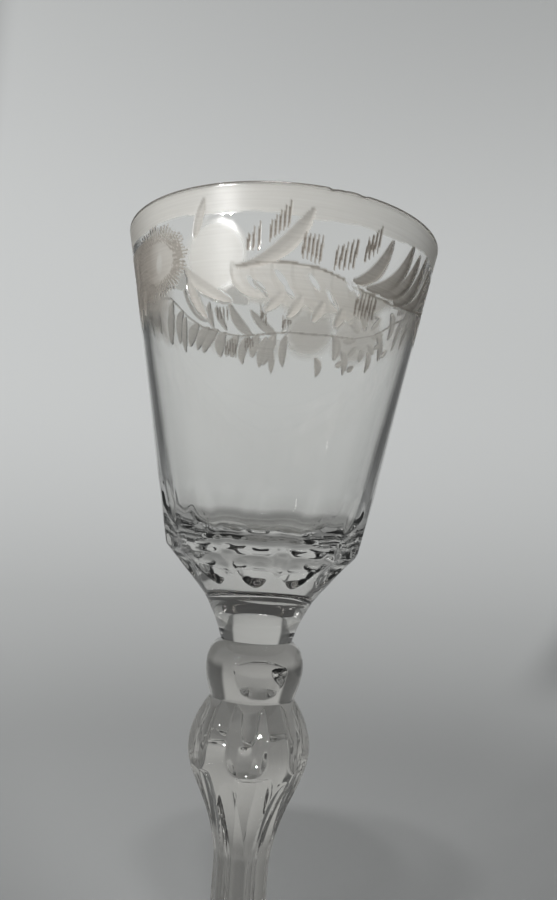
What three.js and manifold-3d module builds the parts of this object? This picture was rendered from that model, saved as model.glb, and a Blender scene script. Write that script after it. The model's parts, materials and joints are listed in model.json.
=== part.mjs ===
// A cut and engraved wine goblet: a tapered bowl over a thick faceted base, a cut knop, a faceted baluster
// stem and a low conical foot. The four gathers of clear glass are fused hot on flat planes.
// Lengths are millimetres, +Z is up, and the origin is the middle of the foot on the table.
import * as THREE from "three";
import { mergeVertices } from "three/addons/utils/BufferGeometryUtils.js";
import Module from "manifold-3d";

const wasm = await Module();
wasm.setup();

// Lengths of the four pieces, stacked from the table up.
const footHeight = 20;
const stemLength = 54.5;
const knopLength = 13.8;
const bowlLength = 100.7;

// Radii of the fused planes between the pieces.
const footNeckRadius = 7.4;
const stemShoulderRadius = 10.4;
const bowlNeckRadius = 8.9;

// The foot: a low cone that stands on a ground ring and is hollowed a little underneath.
const footRadius = 46;
const footEdgeThickness = 2.6;
const footRingWidth = 2.5;
const footHollowDepth = 3.4;
const footSlopeRise = 6.2;

// The stem: a slim hexagonal shank that swells into a baluster below the knop.
const shankRadius = 6.95;
const shankFlare = 4;
const shankLength = 11;
const balusterRadius = 14.95;
const balusterBelowKnop = 11.5;
const stemSides = 6;
const tongueTurn = THREE.MathUtils.degToRad(-1);
const kiteTurn = THREE.MathUtils.degToRad(6);
const fluteTurn = THREE.MathUtils.degToRad(-18);
const tongueLength = 15.5;
const tongueFootDepth = 1.1;
const tongueTopDepth = 1;
const tongueSwell = 1.25;
const tongueHollow = 9;
const kiteDepth = 1.25;
const kiteHollow = 11;
const shankHollowDepth = 0.5;
const shankHollow = 8;
const fluteTipBelowCrest = 1.5;

// The knop: a turned bead with three flat windows, each narrow at its foot and ending in a ledge at the shoulder.
const knopRadius = 12.15;
const knopWidestBelowBowl = 6.5;
const windowCount = 3;
const windowTurn = THREE.MathUtils.degToRad(8);
const windowFoot = 2.5;
const windowTop = 8.4;
const windowFootDepth = 2;
const windowTopDepth = 2.75;
const windowFade = 1.5;
const windowLedge = 2.4;

// The bowl: a straight tapered wall over a solid base that is cut with flutes and thumb-shaped hollows.
const rimRadius = 40;
const wallThickness = 1.5;
const rimRounding = 0.7;
const baseRadius = 24.3;
const baseHeight = 22.4;
const underConeHeight = 10;
const underConeRadius = 15.3;
const cavityFloorHeight = 24.2;
const cavityFloorRadius = 12;
const cavityWallThickness = 2.6;
const cavityRounding = 8;
const fluteCount = 12;
const bowlTurn = THREE.MathUtils.degToRad(-4);
const fluteDepth = 1.25;
const fluteHollow = 20;
const fluteHeight = 16;
const thumbDepth = 1.4;
const thumbHollow = 12;
const thumbLength = 10.6;

// Fineness of the round surfaces and of the cuts.
const roundSegments = 72;
const hollowSteps = 8;
const cutterSteps = 10;
const cutterReach = 14;

const stemBase = footHeight;
const knopBase = stemBase + stemLength;
const bowlBase = knopBase + knopLength;
const rimTop = bowlBase + bowlLength;

const glass = { color: 0xdfe4e2, roughness: 0.04, metalness: 0, transparent: true, opacity: 0.5 };

// Points of a smooth line through the given [radius, height] pairs.
function curve(pairs, steps) {
  const line = new THREE.SplineCurve(pairs.map(([r, z]) => new THREE.Vector2(r, z)));
  return line.getPoints(steps);
}

// Quarter round from one end point to another, bulging to the corner between them.
function rounded(from, corner, to, steps) {
  const [a, b, c] = [from, corner, to].map(([r, z]) => new THREE.Vector2(r, z));
  return new THREE.QuadraticBezierCurve(a, b, c).getPoints(steps);
}

// Drops a point that repeats the one before it, so that no ring of the revolve is empty.
function withoutRepeats(points) {
  return points.filter((p, i) => i === 0 || p.distanceTo(points[i - 1]) > 1e-4);
}

// Radius of a profile at a height, read off its points, which run upwards.
function radiusAt(points, z) {
  const next = points.findIndex((p) => p.y >= z);
  if (next <= 0) return points[next === 0 ? 0 : points.length - 1].x;
  const [low, high] = [points[next - 1], points[next]];
  return THREE.MathUtils.mapLinear(z, low.y, high.y, low.x, high.x);
}

// Turns a closed or open geometry into a solid that can be cut.
function solidOf(geometry) {
  const bare = geometry.clone();
  bare.deleteAttribute("normal");
  bare.deleteAttribute("uv");
  const merged = mergeVertices(bare, 1e-4);
  const vertProperties = merged.attributes.position.array;
  const triVerts = new Uint32Array(merged.index.array);
  return new wasm.Manifold(new wasm.Mesh({ numProp: 3, vertProperties, triVerts }));
}

// Turns a cut solid back into a geometry.
function geometryOf(solid) {
  const mesh = solid.getMesh();
  const geometry = new THREE.BufferGeometry();
  geometry.setAttribute("position", new THREE.BufferAttribute(mesh.vertProperties, 3));
  geometry.setIndex(new THREE.BufferAttribute(mesh.triVerts, 1));
  return geometry;
}

// Revolves a profile of [radius, height] points about the upright axis.
function revolve(points) {
  const geometry = new THREE.LatheGeometry(withoutRepeats(points), roundSegments);
  geometry.rotateX(Math.PI / 2);
  return solidOf(geometry);
}

// Joins equal rings of points into one closed skin, with a fan over each end.
function loft(rings) {
  const size = rings[0].length;
  const index = [];
  for (let k = 0; k + 1 < rings.length; k++) {
    for (let i = 0; i < size; i++) {
      const j = (i + 1) % size;
      const [a, b, c, d] = [k * size + i, k * size + j, (k + 1) * size + j, (k + 1) * size + i];
      index.push(a, b, c, a, c, d);
    }
  }
  const top = (rings.length - 1) * size;
  for (let i = 1; i + 1 < size; i++) {
    index.push(0, i + 1, i);
    index.push(top, top + i, top + i + 1);
  }
  const geometry = new THREE.BufferGeometry().setFromPoints(rings.flat());
  geometry.setIndex(index);
  return geometry;
}

// One touch of the grinding wheel: a bar outside the glass whose inner face lies at depthAt(z) from the axis.
// A hollow radius makes that face bulge inwards, so that the facet it leaves is concave.
function wheelCut(low, high, depthAt, halfWidth, hollow) {
  const steps = hollow ? hollowSteps : 1;
  const rings = [];
  for (let k = 0; k <= cutterSteps; k++) {
    const z = THREE.MathUtils.lerp(low, high, k / cutterSteps);
    const depth = depthAt(z);
    const ring = [];
    for (let i = 0; i <= steps; i++) {
      const x = THREE.MathUtils.lerp(halfWidth, -halfWidth, i / steps);
      const rise = hollow ? hollow - Math.sqrt(hollow * hollow - x * x) : 0;
      ring.push(new THREE.Vector3(x, -(depth + rise), z));
    }
    ring.push(new THREE.Vector3(-halfWidth, -(depth + cutterReach), z));
    ring.push(new THREE.Vector3(halfWidth, -(depth + cutterReach), z));
    rings.push(ring);
  }
  return loft(rings);
}

// Takes the same touch off the glass at equal steps round it. An angle of 0 faces the front, -Y.
function cutRound(glassSolid, cutter, count, turn) {
  let result = glassSolid;
  for (let k = 0; k < count; k++) {
    const turned = cutter.clone().rotateZ(turn + (k * 2 * Math.PI) / count);
    result = result.subtract(solidOf(turned));
  }
  return result;
}

function makeFoot() {
  const ringInner = footRadius - footEdgeThickness / 2 - footRingWidth;
  const ringOuter = footRadius - footEdgeThickness / 2;
  const underside = [
    new THREE.Vector2(0, footHollowDepth),
    new THREE.Vector2(ringInner / 2, footHollowDepth * 0.72),
    new THREE.Vector2(ringInner, 0),
  ];
  const edge = rounded([ringOuter, 0], [footRadius, 0], [footRadius, footEdgeThickness / 2], 4);
  const lip = rounded(
    [footRadius, footEdgeThickness / 2],
    [footRadius, footEdgeThickness],
    [ringOuter, footEdgeThickness],
    4,
  );
  const slopeTop = [footNeckRadius + footSlopeRise * 1.4, footEdgeThickness + footSlopeRise];
  const slope = rounded([ringOuter, footEdgeThickness], slopeTop, [footNeckRadius, footHeight], 10);
  const axisTop = new THREE.Vector2(0, footHeight);
  return revolve([...underside, ...edge, ...lip, ...slope, axisTop]);
}

// Points of a smooth line that leaves one [radius, height] point and reaches another along two handles.
function sweep(from, leave, arrive, to, steps) {
  const [a, b, c, d] = [from, leave, arrive, to].map(([r, z]) => new THREE.Vector2(r, z));
  return new THREE.CubicBezierCurve(a, b, c, d).getPoints(steps);
}

// Outline of the uncut stem, from the foot up to the knop.
function stemOutline() {
  const flareTop = stemBase + shankFlare;
  const shankTop = flareTop + shankLength;
  const widest = knopBase - balusterBelowKnop;
  const rise = widest - shankTop;
  const flare = rounded([footNeckRadius, stemBase], [shankRadius, stemBase + 0.5 * shankFlare], [shankRadius, flareTop], 4);
  const swell = sweep(
    [shankRadius, shankTop],
    [shankRadius + 0.4, shankTop + 0.43 * rise],
    [balusterRadius, shankTop + 0.71 * rise],
    [balusterRadius, widest],
    14,
  );
  const shoulder = sweep(
    [balusterRadius, widest],
    [balusterRadius, widest + 0.35 * balusterBelowKnop],
    [stemShoulderRadius + 2.2, widest + 0.75 * balusterBelowKnop],
    [stemShoulderRadius, knopBase],
    8,
  );
  return withoutRepeats([...flare, ...swell, ...shoulder]);
}

function makeStem() {
  const outline = stemOutline();
  const axisLow = new THREE.Vector2(0, stemBase);
  const axisHigh = new THREE.Vector2(0, knopBase);
  const blank = revolve([axisLow, ...outline, axisHigh]);
  const flareTop = stemBase + shankFlare;
  const shankTop = flareTop + shankLength;
  const crest = knopBase - tongueLength;
  const crestReach = radiusAt(outline, crest) - kiteDepth;

  // A hollow tongue runs from the knop down to the crest, where the kite-shaped facet below it begins.
  const tongueAt = (z) => {
    const share = THREE.MathUtils.clamp((z - crest) / tongueLength, 0, 1);
    const ends = THREE.MathUtils.lerp(tongueFootDepth, tongueTopDepth, share);
    return radiusAt(outline, z) - ends - tongueSwell * Math.sin(Math.PI * share ** 0.7);
  };
  const tongue = wheelCut(crest, knopBase + 1, tongueAt, 0.85 * tongueHollow, tongueHollow);

  // A kite facet narrows from the crest to a point on the corner of the shank.
  const kiteAt = (z) => {
    const share = Math.max(0, (z - shankTop) / (crest - shankTop));
    return THREE.MathUtils.lerp(shankRadius, crestReach, share ** 1.8);
  };
  const kite = wheelCut(shankTop, crest, kiteAt, 0.8 * kiteHollow, kiteHollow);

  // A long flute makes each side of the hexagonal shank and runs up to a point between two tongues.
  const shankFlat = shankRadius * Math.cos(Math.PI / stemSides) - shankHollowDepth;
  const fluteTip = crest - fluteTipBelowCrest;
  const tipReach = radiusAt(outline, fluteTip);
  const flareReach = footNeckRadius + 0.2;
  const fluteAt = (z) => {
    const up = Math.max(0, (z - shankTop) / (fluteTip - shankTop));
    const down = Math.max(0, (flareTop - z) / shankFlare);
    return THREE.MathUtils.lerp(shankFlat, tipReach, up ** 1.7) + down ** 2 * (flareReach - shankFlat);
  };
  const flute = wheelCut(stemBase, fluteTip + 1, fluteAt, 0.85 * shankHollow, shankHollow);

  let stem = cutRound(blank, tongue, stemSides, tongueTurn);
  stem = cutRound(stem, kite, stemSides, kiteTurn);
  return cutRound(stem, flute, stemSides, fluteTurn);
}

function makeKnop() {
  const widest = bowlBase - knopWidestBelowBowl;
  const lowerHeight = widest - knopBase;
  const outline = curve(
    [
      [stemShoulderRadius, knopBase],
      [knopRadius - 0.6, knopBase + 0.6 * lowerHeight],
      [knopRadius, widest],
      [knopRadius - 0.45, widest + 0.3 * knopWidestBelowBowl],
      [knopRadius - 1.05, widest + 0.63 * knopWidestBelowBowl],
      [bowlNeckRadius, bowlBase],
    ],
    12,
  );
  const axisLow = new THREE.Vector2(0, knopBase);
  const axisHigh = new THREE.Vector2(0, bowlBase);
  const blank = revolve([axisLow, ...outline, axisHigh]);

  // The window leans in a little towards its top, runs out at its foot and ends in a sloping ledge.
  const foot = knopBase + windowFoot;
  const top = knopBase + windowTop;
  const windowAt = (z) => {
    const share = THREE.MathUtils.clamp((z - foot) / (top - foot), 0, 1);
    const depth = THREE.MathUtils.lerp(windowFootDepth, windowTopDepth, share);
    const below = Math.max(0, (foot - z) / windowFade);
    const above = Math.max(0, (z - top) / windowLedge);
    return knopRadius - depth * (1 - above) + 0.9 * below;
  };
  const facet = wheelCut(foot - windowFade, top + windowLedge, windowAt, 0.85 * knopRadius, 0);
  return cutRound(blank, facet, windowCount, windowTurn);
}

// Radius of the plain tapered wall at a height.
function wallAt(z) {
  return THREE.MathUtils.mapLinear(z, bowlBase + baseHeight, rimTop, baseRadius, rimRadius);
}

// Radius of the cone under the base at a height.
function underConeAt(z) {
  const low = bowlBase + baseHeight - underConeHeight;
  return THREE.MathUtils.mapLinear(z, low, bowlBase + baseHeight, underConeRadius, baseRadius);
}

function makeBowl() {
  const corner = bowlBase + baseHeight;
  const coneFoot = corner - underConeHeight;
  const waist = curve(
    [
      [bowlNeckRadius, bowlBase],
      [(bowlNeckRadius + underConeRadius) / 2 - 0.7, bowlBase + (coneFoot - bowlBase) * 0.5],
      [underConeRadius, coneFoot],
    ],
    8,
  );
  const outside = [
    new THREE.Vector2(0, bowlBase),
    ...waist,
    new THREE.Vector2(baseRadius, corner),
    new THREE.Vector2(rimRadius - 0.2 * rimRounding, rimTop - rimRounding),
  ];
  const lipMiddle = rimRadius - wallThickness / 2;
  const lip = rounded([rimRadius - 0.2 * rimRounding, rimTop - rimRounding], [rimRadius, rimTop], [lipMiddle, rimTop], 3);
  const innerRim = rimRadius - wallThickness;
  const lipInside = rounded([lipMiddle, rimTop], [innerRim, rimTop], [innerRim - 0.1, rimTop - rimRounding], 3);
  const floor = bowlBase + cavityFloorHeight;
  const bendTop = floor + cavityRounding;
  const cavitySide = wallAt(bendTop) - cavityWallThickness;
  const bendCorner = wallAt(floor) - cavityWallThickness - 0.6;
  const bend = rounded([cavitySide, bendTop], [bendCorner, floor + 0.4], [cavityFloorRadius, floor], 9);
  const inside = [...lipInside, ...bend, new THREE.Vector2(0, floor - 0.3)];
  const blank = revolve([...outside, ...lip, ...inside]);

  // A flute is deepest at the corner of the base and runs out into the wall in an arch.
  const fluteTop = corner + fluteHeight;
  const fluteAt = (z) => {
    const share = (z - corner) / fluteHeight;
    return wallAt(z) - fluteDepth * (1 - share);
  };
  const flute = wheelCut(corner - 1.5, fluteTop + 1, fluteAt, baseRadius * 0.4, fluteHollow);

  // A thumb-shaped hollow lies under each flute, on the cone below the corner.
  const thumbMiddle = corner - thumbLength * 0.45;
  const thumbAt = (z) => {
    const share = (z - thumbMiddle) / (thumbLength * 0.55);
    return underConeAt(z) - thumbDepth * (1 - share * share);
  };
  const thumb = wheelCut(corner - thumbLength, corner + 1.2, thumbAt, baseRadius * 0.34, thumbHollow);
  const bowl = cutRound(blank, flute, fluteCount, bowlTurn);
  return cutRound(bowl, thumb, fluteCount, bowlTurn);
}

// Makes the named mesh of one piece.
function piece(name, solid) {
  const mesh = new THREE.Mesh(geometryOf(solid), new THREE.MeshStandardMaterial(glass));
  mesh.name = name;
  return mesh;
}

const goblet = new THREE.Group();
goblet.add(piece("foot", makeFoot()));
goblet.add(piece("baluster_stem", makeStem()));
goblet.add(piece("knop", makeKnop()));
goblet.add(piece("bowl", makeBowl()));

export default goblet;
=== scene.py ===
# %% [markdown]
# # An engraved wine goblet
# The object is hot-worked glass: a tapered bowl, a knop, a baluster stem and a foot, fused into one. A cutter
# has then ground facets into it, and an engraver has worked a garland into the bowl's border. The packed
# model gives the size and place of each piece. This script makes the surfaces that light shows: worn facets,
# a true wall of glass and an engraving with real depth. Every length is in metres.

# %% Load the frame
import json
import math

import bpy
import numpy as np
from mathutils import Matrix, Vector

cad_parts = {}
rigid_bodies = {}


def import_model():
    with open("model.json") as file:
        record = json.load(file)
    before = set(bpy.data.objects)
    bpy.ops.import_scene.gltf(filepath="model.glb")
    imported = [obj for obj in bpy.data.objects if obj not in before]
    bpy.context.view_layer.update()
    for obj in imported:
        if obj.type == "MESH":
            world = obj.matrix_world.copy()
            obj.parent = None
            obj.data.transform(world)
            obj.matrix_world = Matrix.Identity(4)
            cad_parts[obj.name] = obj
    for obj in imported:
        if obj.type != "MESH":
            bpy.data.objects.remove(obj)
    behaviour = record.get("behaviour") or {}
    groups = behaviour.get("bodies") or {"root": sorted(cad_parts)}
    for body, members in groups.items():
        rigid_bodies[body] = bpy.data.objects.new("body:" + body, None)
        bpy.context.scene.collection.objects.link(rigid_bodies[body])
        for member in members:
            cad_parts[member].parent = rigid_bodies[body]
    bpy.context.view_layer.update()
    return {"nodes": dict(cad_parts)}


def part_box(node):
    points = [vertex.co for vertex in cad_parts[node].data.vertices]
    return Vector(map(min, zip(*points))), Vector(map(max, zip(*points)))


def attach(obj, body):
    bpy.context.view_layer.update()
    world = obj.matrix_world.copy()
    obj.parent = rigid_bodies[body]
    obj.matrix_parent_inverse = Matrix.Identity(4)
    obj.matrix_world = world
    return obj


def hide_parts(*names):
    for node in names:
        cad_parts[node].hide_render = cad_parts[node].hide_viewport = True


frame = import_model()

MM = 0.001

# %% [markdown]
# ## Heights and radii
# The heights at which the pieces meet are read from the frame, so the fine surfaces sit exactly where the
# plain solids are. The radii at the fused planes come from the solids' own corners at those heights.


# %% Read the stack from the frame
def radius_at(node, height):
    """Largest radius of a node's corners that lie at a height."""
    corners = [v.co for v in frame["nodes"][node].data.vertices]
    return max(c.xy.length for c in corners if abs(c.z - height) < 1e-5)


stem_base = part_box("baluster_stem")[0].z
knop_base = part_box("knop")[0].z
bowl_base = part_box("bowl")[0].z
rim_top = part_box("bowl")[1].z
foot_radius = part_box("foot")[1].x
rim_radius = radius_at("bowl", rim_top) + 0.75 * MM
foot_neck = radius_at("foot", stem_base)
stem_shoulder = radius_at("baluster_stem", knop_base)
bowl_neck = radius_at("bowl", bowl_base)
print("planes at", [round(z / MM, 2) for z in (stem_base, knop_base, bowl_base, rim_top)])
print("radii", [round(r / MM, 2) for r in (foot_radius, foot_neck, stem_shoulder, bowl_neck, rim_radius)])

# %% [markdown]
# ## The camera
# The photograph was taken from just above the knop, close to the glass, looking slightly up and a little
# tilted, so that the rim is seen from below. A short lens close to the glass gives the bowl its strong taper.

# %% Place the camera
camera_distance = 192.84 * MM
camera_height = 115.88 * MM
camera_turn = math.radians(0.678)
camera_rise = math.radians(5.955)
camera_tilt = math.radians(-3.966)
long_side = 36.0
focal_pixels = 756
photo_height = 900

level = Vector((math.cos(camera_turn), -math.sin(camera_turn), 0))
forward = Vector((math.sin(camera_turn), math.cos(camera_turn), 0))
ahead = forward * math.cos(camera_rise) + Vector((0, 0, math.sin(camera_rise)))
upward = level.cross(ahead)
right = level * math.cos(camera_tilt) - upward * math.sin(camera_tilt)
above = level * math.sin(camera_tilt) + upward * math.cos(camera_tilt)
camera_data = bpy.data.cameras.new("camera")
camera_data.sensor_width = long_side
camera_data.lens = long_side * focal_pixels / photo_height
camera_data.clip_start = 0.01
camera = bpy.data.objects.new("camera", camera_data)
bpy.context.scene.collection.objects.link(camera)
stand = Matrix.Translation((0, -camera_distance, camera_height))
camera.matrix_world = stand @ Matrix((right, above, -ahead)).transposed().to_4x4()
bpy.context.scene.camera = camera
bpy.context.scene.view_settings.view_transform = "Standard"
print("lens", round(camera_data.lens, 2), "mm")


# %% [markdown]
# ## Writing materials as sums
# Each surface gets its finish from a small net of nodes. Nodes can be placed by hand in the shader editor,
# or added in code one call at a time, which soon gets long. Here a small class wraps a socket, so that a
# sum or a product of sockets can be written as such and adds its own Math nodes. One function adds any
# other node.

# %% Shader helpers
class Wire:
    """A socket of a material, on which sums and products can be written."""

    def __init__(self, tree, socket):
        self.tree = tree
        self.socket = socket

    def maths(self, operation, *others):
        inputs = dict(enumerate((self, *others)))
        return add_node(self.tree, "Math", {"operation": operation}, inputs)

    def __add__(self, other):
        return self.maths("ADD", other)

    def __mul__(self, other):
        return self.maths("MULTIPLY", other)

    def __sub__(self, other):
        return self.maths("SUBTRACT", other)

    def __rsub__(self, other):
        return (self * -1.0) + other

    __radd__ = __add__
    __rmul__ = __mul__


def add_node(tree, kind, settings, inputs, output=0):
    """Adds a ShaderNode of a kind, sets it, fills or links its sockets and gives back one of its outputs."""
    node = tree.nodes.new("ShaderNode" + kind)
    for name, value in settings.items():
        setattr(node, name, value)
    for name, value in inputs.items():
        if isinstance(value, Wire):
            tree.links.new(value.socket, node.inputs[name])
        else:
            node.inputs[name].default_value = value
    return Wire(tree, node.outputs[output])


def mix_colours(tree, share, first, second):
    return add_node(tree, "Mix", {"data_type": "RGBA"}, {0: share, 6: first, 7: second}, 2)


def noise(tree, place, scale, detail):
    inputs = {"Vector": place, "Scale": scale, "Detail": detail}
    return add_node(tree, "TexNoise", {}, inputs, "Fac")


def bumps(tree, height, strength):
    inputs = {"Height": height, "Strength": strength, "Distance": 0.6 * MM}
    return add_node(tree, "Bump", {}, inputs, "Normal")


def parts_of(tree, vector):
    """The x, y and z of a place or direction."""
    split = tree.nodes.new("ShaderNodeSeparateXYZ")
    tree.links.new(vector.socket, split.inputs[0])
    return [Wire(tree, part) for part in split.outputs]


def new_material(name):
    material = bpy.data.materials.new(name)
    material.use_nodes = True
    material.node_tree.nodes.clear()
    return material, material.node_tree


def finish_material(tree, surface):
    out = tree.nodes.new("ShaderNodeOutputMaterial")
    tree.links.new(surface.socket, out.inputs["Surface"])


# %% [markdown]
# ## Old glass
# Glass of this age is slightly grey and warm, faintly wavy and finely scratched. A Glass shader would do for
# a window pane, but the Principled shader with full transmission also takes a tint, a bump and roughness.
# The tint follows the height: light in the foot and the wall, deep in the stem and the bowl's base, where the
# glass is thick. The deep tint is partly the grey of old glass and partly painted shade, for the darkness
# that the thick stem and base show. It is given here, because this shader doesn't count how far light goes
# through the glass, and a volume that would do so is lost in an exported model. The four gathers are one mass
# of glass, so the end faces where they meet get a Transparent shader, and light goes straight through. The
# bowl mixes its clear glass with a chalky one where two attributes of the mesh say that the engraver's wheel
# has left it matte, or that it is darker and browner, as in the cuts, where dirt has settled, and in a faint
# ground at the sides. A noise that is drawn out sideways gives the fine scratches that a wheel leaves round
# the rim.

# %% Clear glass and the fused planes
GLASS_IOR = 1.5
clear_colour = (0.955, 0.955, 0.945, 1)
# Painted shade: the deep tints of the stem and the bowl's base are partly the grey of thick old glass and
# partly painted shade, for the darkness these thick parts show.
thick_tint_and_shade = (0.65, 0.635, 0.605, 1)
solid_tint_and_shade = (0.7, 0.69, 0.665, 1)
foot_colour = (0.88, 0.87, 0.85, 1)
frosted_colour = (0.92, 0.9, 0.85, 1)
grime_colour = (0.42, 0.345, 0.27, 1)
chalk_colour = (0.74, 0.71, 0.65, 1)
dirt_colour = (0.11, 0.085, 0.065, 1)
thin_foot = 6 * MM
solid_top = bowl_base + 16 * MM
thin_wall = bowl_base + 36 * MM


def glass_shader(tree, tint, roughness, bump):
    inputs = {"Base Color": tint, "Roughness": roughness, "Normal": bump, "IOR": GLASS_IOR}
    return add_node(tree, "BsdfPrincipled", {}, {**inputs, "Transmission Weight": 1.0})


def make_clear_glass():
    material, tree = new_material("clear_glass")
    place = add_node(tree, "TexCoord", {}, {}, "Object")
    waves = noise(tree, place, 70.0, 1.0)
    wear = noise(tree, place, 900.0, 3.0)
    bump = bumps(tree, waves, 0.12)
    levels = {0: parts_of(tree, place)[2], 1: thin_foot, 2: stem_base}
    thickness = add_node(tree, "MapRange", {}, levels)
    tint = mix_colours(tree, thickness, foot_colour, thick_tint_and_shade)
    finish_material(tree, glass_shader(tree, tint, wear * 0.02, bump))
    return material


def make_fused_plane():
    material, tree = new_material("fused_plane")
    finish_material(tree, add_node(tree, "BsdfTransparent", {}, {}))
    return material


def make_bowl_glass():
    material, tree = new_material("bowl_glass")
    place = add_node(tree, "TexCoord", {}, {}, "Object")
    matte = add_node(tree, "Attribute", {"attribute_name": "matte"}, {}, "Fac")
    dark = add_node(tree, "Attribute", {"attribute_name": "dark"}, {}, "Fac")
    waves = noise(tree, place, 60.0, 1.0)
    grain = noise(tree, place, 2500.0, 2.0)
    bump = bumps(tree, waves * 0.3 + grain * matte * 0.06, 0.3)
    streaks = add_node(tree, "Mapping", {}, {"Vector": place, "Scale": (60, 60, 2200)}, "Vector")
    brushed = noise(tree, streaks, 1.0, 2.0)
    levels = {0: parts_of(tree, place)[2], 1: solid_top, 2: thin_wall}
    thinness = add_node(tree, "MapRange", {}, levels)
    body = mix_colours(tree, thinness, solid_tint_and_shade, clear_colour)
    grimy = mix_colours(tree, dark, mix_colours(tree, matte, body, frosted_colour), grime_colour)
    ground = mix_colours(tree, dark * 0.8 + brushed * 0.35 - 0.1, chalk_colour, dirt_colour)
    glass = glass_shader(tree, grimy, matte * 0.42 + 0.01, bump)
    finish = {"Base Color": ground, "Roughness": 0.8, "Normal": bump}
    chalky = add_node(tree, "BsdfPrincipled", {}, finish)
    cover = matte * (dark * 0.35 + brushed * 0.3 + 0.22)
    finish_material(tree, add_node(tree, "MixShader", {}, {0: cover, 1: glass, 2: chalky}))
    return material


clear_glass = make_clear_glass()
fused_plane = make_fused_plane()
bowl_glass = make_bowl_glass()


# %% [markdown]
# ## Blowing, turning and grinding
# A glassblower makes round forms and a cutter grinds facets into them, and the helpers follow that. One
# spins a profile into a closed skin: a plane is merged to a point, extruded along the profile and spun. A
# Screw modifier could do the same, but it leaves the pole to be closed by hand. Another makes a wheel, a
# block whose inner face is the path of the cut, from a grid that is bent and extruded. The last sets copies
# of the wheel round the glass and takes them away with one Boolean, which is far quicker than one Boolean
# for each cut.

# %% Modelling helpers
crease_angle = math.radians(32)
wheel_steps = 28
wheel_thickness = 14 * MM


def only(piece):
    """Selects one object and makes it the active one."""
    bpy.ops.object.select_all(action="DESELECT")
    piece.select_set(True)
    bpy.context.view_layer.objects.active = piece


def curve_points(start, leave, arrive, end, steps):
    """Points of a cubic curve between two (radius, height) pairs."""
    t = np.linspace(0, 1, steps + 1)[:, None]
    a, b, c, d = (np.array(p, float) for p in (start, leave, arrive, end))
    return (1 - t) ** 3 * a + 3 * t * (1 - t) ** 2 * b + 3 * t**2 * (1 - t) * c + t**3 * d


def round_points(start, corner, end, steps):
    """Points of a quarter round that bulges to its corner."""
    t = np.linspace(0, 1, steps + 1)[:, None]
    a, b, c = (np.array(p, float) for p in (start, corner, end))
    return (1 - t) ** 2 * a + 2 * t * (1 - t) * b + t**2 * c


def chain(*stretches):
    """Joins stretches of points and drops any that repeats the one before."""
    points = np.concatenate([np.atleast_2d(s) for s in stretches])
    keep = [0] + [i for i in range(1, len(points)) if np.hypot(*(points[i] - points[i - 1])) > 1e-7]
    return points[keep]


def blow(name, profile, segments):
    """Draws a profile of (radius, height) points and spins it about the upright axis into one closed skin."""
    bpy.ops.object.select_all(action="DESELECT")
    bpy.ops.mesh.primitive_plane_add(size=1 * MM)
    piece = bpy.context.object
    piece.name = name
    bpy.ops.object.mode_set(mode="EDIT")
    bpy.ops.mesh.select_mode(type="VERT")
    bpy.ops.mesh.select_all(action="SELECT")
    bpy.ops.mesh.merge(type="CENTER")
    bpy.ops.transform.translate(value=(profile[0][0], 0, profile[0][1]))
    for step in np.diff(profile, axis=0):
        bpy.ops.mesh.extrude_region_move(TRANSFORM_OT_translate={"value": (step[0], 0, step[1])})
    bpy.ops.mesh.select_all(action="SELECT")
    bpy.ops.mesh.spin(steps=segments, angle=2 * math.pi, center=(0, 0, 0), axis=(0, 0, 1))
    bpy.ops.mesh.select_all(action="SELECT")
    bpy.ops.mesh.remove_doubles(threshold=2e-6)
    bpy.ops.mesh.normals_make_consistent(inside=False)
    bpy.ops.object.mode_set(mode="OBJECT")
    return piece


def even(points, pitch):
    """The same line with points at even steps of about the pitch."""
    run = np.concatenate([[0], np.cumsum(np.hypot(*np.diff(points, axis=0).T))])
    places = np.linspace(0, run[-1], max(2, math.ceil(run[-1] / pitch) + 1))
    return np.column_stack([np.interp(places, run, points[:, k]) for k in (0, 1)])


def wheel(low, high, reach_at, half_width, hollow):
    """A block outside the glass, its inner face reach_at(height) from the axis and hollow to a radius."""
    bpy.ops.object.select_all(action="DESELECT")
    bpy.ops.mesh.primitive_grid_add(x_subdivisions=16, y_subdivisions=wheel_steps, size=2)
    block = bpy.context.object
    for v in block.data.vertices:
        x = v.co.x * half_width
        z = low + (high - low) * (v.co.y + 1) / 2
        rise = hollow - math.sqrt(hollow**2 - x**2)
        v.co = (x, -(reach_at(z) + rise), z)
    bpy.ops.object.mode_set(mode="EDIT")
    bpy.ops.mesh.select_all(action="SELECT")
    bpy.ops.mesh.extrude_region_move(TRANSFORM_OT_translate={"value": (0, -wheel_thickness, 0)})
    bpy.ops.mesh.select_all(action="SELECT")
    bpy.ops.mesh.normals_make_consistent(inside=False)
    bpy.ops.object.mode_set(mode="OBJECT")
    return block


def grind(piece, block, count, turn):
    """Cuts the block out of the glass at equal steps round it. A turn of 0 faces the front."""
    wheels = bpy.data.collections.new("wheels")
    bpy.context.scene.collection.children.link(wheels)
    for k in range(count):
        touch = bpy.data.objects.new("touch", block.data)
        touch.rotation_euler = (0, 0, turn + 2 * math.pi * k / count)
        wheels.objects.link(touch)
    bpy.context.view_layer.update()
    only(piece)
    bpy.ops.object.modifier_add(type="BOOLEAN")
    cut = piece.modifiers[-1]
    cut.operation = "DIFFERENCE"
    cut.solver = "MANIFOLD"
    cut.operand_type = "COLLECTION"
    cut.collection = wheels
    bpy.ops.object.modifier_apply(modifier=cut.name)
    for touch in list(wheels.objects):
        bpy.data.objects.remove(touch)
    bpy.data.collections.remove(wheels)
    bpy.data.objects.remove(block)


def weigh(piece, name, weights):
    """Gives a piece a vertex group with one weight for each corner."""
    group = piece.vertex_groups.new(name=name)
    for level in np.unique(weights[weights > 0]):
        group.add(np.flatnonzero(weights == level).tolist(), float(level), "REPLACE")


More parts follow.
